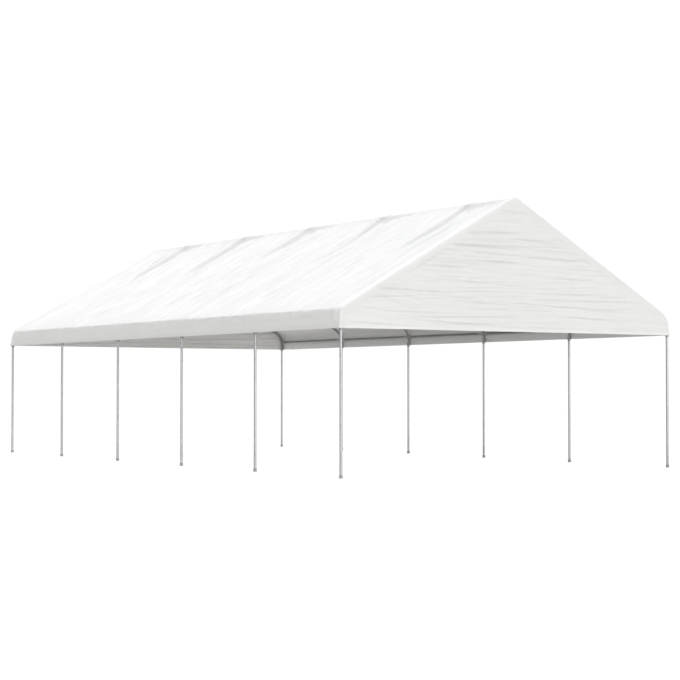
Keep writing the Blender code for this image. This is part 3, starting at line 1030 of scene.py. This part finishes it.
def connector_meshes(name, path, centre, lean, bolts):
    """A leg with its sleeves, beads and bolts as one welded piece, for each set of sleeves."""
    meshes = {}
    for sleeves in SLEEVE_SETS:
        shapes = [(bored_tube(path), 0)]
        all_bolts = list(bolts)
        for way in sleeves:
            sleeve = [centre + along * way * SLEEVE_ROOT, centre + along * way * SLEEVE_REACH]
            shapes.append((bored_tube(sleeve), 0))
            shapes.append((weld_bead(centre, way, lean), 1))
            sleeve_bolt = centre + along * way * (SLEEVE_REACH - BOLT_INSET)
            all_bolts.append((sleeve_bolt - up * SOCKET_RADIUS, -up))
        for foot, out in all_bolts:
            shapes += [(shape, 2) for shape in pinch_bolt(foot, out)]
        meshes[sleeves] = mesh_of(name, shapes, [shaded_socket_steel, weld_metal, bolt_zinc])
    return meshes


def sleeves_at(arch, turned=1):
    """The ways that an arch's sleeves point along its own X axis: none past the end arches."""
    return tuple(way for way in (-1, 1) if 0 <= arch + way * turned <= BAYS)


# Painted shade: the connectors' zinc is darker than the posts', for their shade under the cover
shaded_socket_steel = zinc_steel("galvanised socket in painted shade", (0.44, 0.445, 0.45), (0.36, 0.365, 0.37), 0.42)
weld_metal = zinc_steel("zinc-painted weld", (0.52, 0.52, 0.52), (0.42, 0.42, 0.42), 0.55)
bolt_zinc = zinc_steel("zinc-plated bolt", (0.74, 0.73, 0.7), (0.66, 0.65, 0.62), 0.28)

bend_centre = Vector((0, -ELBOW_BEND, -ELBOW_TANGENT))
leg_bottom = up * (POST_SOCKET_END - CORNER_HEIGHT)
leg_top = -down_slope * (ELBOW_TANGENT + SOCKET_LEG)
elbow_path = [leg_bottom]
for step in range(ELBOW_STEPS + 1):
    turn = ELBOW_TURN * step / ELBOW_STEPS
    elbow_path.append(bend_centre + Vector((0, cos(turn), sin(turn))) * ELBOW_BEND)
elbow_path.append(leg_top)
eave_centre = Vector((0, PURLIN_Y - POST_Y, PURLIN_HEIGHT - CORNER_HEIGHT))
rafter_bolt = leg_top + down_slope * BOLT_INSET + under_slope * SOCKET_RADIUS
eave_bolts = [
    (leg_bottom + Vector((0, -SOCKET_RADIUS, POST_BOLT_RISE)), Vector((0, -1, 0))),
    (rafter_bolt, under_slope),
]
eave_lean = asin(purlin_rise)
eave_meshes = connector_meshes("eave connector", elbow_path, eave_centre, eave_lean, eave_bolts)
eave_sleeves = [sleeves_at(arch, side) for row, side in LONG_SIDES for arch in range(ARCHES)]
for sleeves, (number, corner, turn) in zip(eave_sleeves, at_posts(POST_Y, CORNER_HEIGHT)):
    name = "eave_connector_" + number
    place("joint_" + name, eave_meshes[sleeves], name, corner, turn)


# Ridge connectors
# A shorter bent tube joins the two rafters of an arch at the ridge. It is welded, bolted and
# galvanised in the same way, with a sleeve for the ridge purlin on each side.
RIDGE_HEIGHT = PEAK_HEIGHT - RIDGE_BEND * (1 / cos(ROOF_PITCH) - 1)
RIDGE_STEPS = 6

ridge_centre = Vector((0, 0, RIDGE_CENTRE - PEAK_HEIGHT))
far_end = down_slope * (RIDGE_TANGENT + SOCKET_LEG)
ridge_path = [Vector((0, -far_end.y, far_end.z))]
for step in range(2 * RIDGE_STEPS + 1):
    turn = ROOF_PITCH * (step / RIDGE_STEPS - 1)
    ridge_path.append(ridge_centre + Vector((0, sin(turn), cos(turn))) * RIDGE_BEND)
ridge_path.append(far_end)
ridge_bolts = []
for side in (-1, 1):
    outward = Vector((0, side * down_slope.y, down_slope.z))
    below = Vector((0, side * under_slope.y, under_slope.z))
    bolt = outward * (RIDGE_TANGENT + SOCKET_LEG - BOLT_INSET) + below * SOCKET_RADIUS
    ridge_bolts.append((bolt, below))
sleeve_centre = Vector((0, 0, RIDGE_HEIGHT - PEAK_HEIGHT))
ridge_meshes = connector_meshes("ridge connector", ridge_path, sleeve_centre, pi / 2, ridge_bolts)
for arch in range(ARCHES):
    name = "ridge_connector_" + str(arch + 1)
    peak = (arch_x(arch), 0, PEAK_HEIGHT)
    place("joint_" + name, ridge_meshes[sleeves_at(arch)], name, peak)


# Rafters
# Two straight lengths of the same tube make each arch, pushed into the sockets at eave and ridge.
# Their zinc is darker than the posts', as painted shade for the tubes under the cover.
shaded_tube_steel = zinc_steel("galvanised tube in painted shade", (0.29, 0.295, 0.3), (0.21, 0.215, 0.22), 0.42)
rafter_start = RIDGE_TANGENT + SOCKET_LEG - SOCKET_DEPTH + SEAT_GAP
rafter_end = POST_Y / cos(ROOF_PITCH) - ELBOW_TANGENT - SOCKET_LEG + SOCKET_DEPTH - SEAT_GAP
rafter_mesh = straight_tube("rafter", down_slope * rafter_start, down_slope * rafter_end, shaded_tube_steel)
for number, peak, turn in at_posts(0, PEAK_HEIGHT):
    place("tube_rafter_" + number, rafter_mesh, "rafter_" + number, peak, turn)


# Purlins
# Level tubes of the same steel, darkened as painted shade, tie each arch to the next, one at the ridge
# and one at each eave in every bay. Their ends stand in the connectors' sleeves.
purlin_start = SLEEVE_REACH - SOCKET_DEPTH + SEAT_GAP
purlin_end = BAY_LENGTH - purlin_start
purlin_mesh = straight_tube("purlin", along * purlin_start, along * purlin_end, shaded_tube_steel)
for line, y in (("eave_purlin_near_", -PURLIN_Y), ("eave_purlin_far_", PURLIN_Y), ("ridge_purlin_", 0)):
    for bay in range(BAYS):
        name = line + str(bay + 1)
        height = PURLIN_HEIGHT if y else RIDGE_HEIGHT
        place("tube_" + name, purlin_mesh, name, (arch_x(bay), y, height))


# Elastic ties
# A loop of braided elastic holds the hem to each post. It passes through an eyelet, turns round
# the hem, and is held on the inner side of the post by a plastic ball.
TIE_HEIGHT = HEM_HEIGHT + 0.02
CORD_RADIUS = 0.0022
BALL_RADIUS = 0.0125
BALL_STEPS = 16
BALL_OFFSET = SOCKET_RADIUS + 0.013
EYELET_RADIUS = 0.0088
EYELET_ROLL = 0.003
EYELET_STEPS = 24

# Half of the cord's closed loop, from the ball round the post and through the cloth
tie_y = COVER_LIFT + VALANCE_FLARE * (BEND_HEIGHT - TIE_HEIGHT) / VALANCE_DROP
half_loop = [
    (0.0025, -BALL_OFFSET, 0.0), (0.016, -0.024, 0.0), (0.0246, -0.006, 0.0), (0.0232, 0.011, 0.0),
    (0.011, 0.027, 0.0), (0.004, tie_y, 0.0), (0.0046, tie_y + 0.0062, -0.004),
    (0.0052, tie_y + 0.007, -0.013), (0.0052, tie_y + 0.004, -0.0235),
    (0.005, tie_y - 0.001, -0.0255), (0.0056, tie_y - 0.007, -0.019),
    (0.004, tie_y - 0.01, -0.009), (0.0, tie_y - 0.0105, -0.006),
]


def smooth_loop(points, steps):
    """A closed curve through the points."""
    curve = []
    count = len(points)
    for index in range(count):
        before, first, last, after = [Vector(points[(index + step) % count]) for step in (-1, 0, 1, 2)]
        for step in range(steps):
            t = step / steps
            bend = 2 * before - 5 * first + 4 * last - after
            twist = 3 * (first - last) + after - before
            curve.append(first + 0.5 * ((last - before) * t + bend * t ** 2 + twist * t ** 3))
    return curve


tie_curve = smooth_loop(half_loop + [(-x, y, z) for x, y, z in half_loop[-2::-1]], 5)
outward = Vector((0, 1, 0))
ball_centre = -outward * (BALL_OFFSET + 0.3 * BALL_RADIUS)
ball_rings = []
for step in range(BALL_STEPS + 1):
    turn = pi * (0.02 + 0.96 * step / BALL_STEPS)
    level = ball_centre - outward * cos(turn) * BALL_RADIUS
    ball_rings.append((level, outward, BALL_RADIUS * sin(turn)))
eyelet_curve = []
for step in range(EYELET_STEPS):
    turn = 2 * pi * step / EYELET_STEPS
    spoke = Vector((cos(turn), 0, sin(turn)))
    eyelet_curve.append(outward * tie_y + spoke * EYELET_RADIUS)
tie_shapes = [
    (closed_cord(tie_curve, CORD_RADIUS), 0),
    (swept_tube(ball_rings, sides=24), 1),
    (closed_cord(eyelet_curve, EYELET_ROLL), 2),
]
tie_cord = white_thread("braided elastic", (0.84, 0.84, 0.82), 240.0)
ball_plastic = moulded_plastic("ball plastic", (0.8, 0.8, 0.79))
eyelet_metal = zinc_steel("nickel eyelet", (0.72, 0.71, 0.68), (0.62, 0.61, 0.58), 0.25)
tie_mesh = mesh_of("elastic tie", tie_shapes, [tie_cord, ball_plastic, eyelet_metal])
for number, knot, turn in at_posts(POST_Y, TIE_HEIGHT):
    place("tie_" + number, tie_mesh, None, knot, turn)
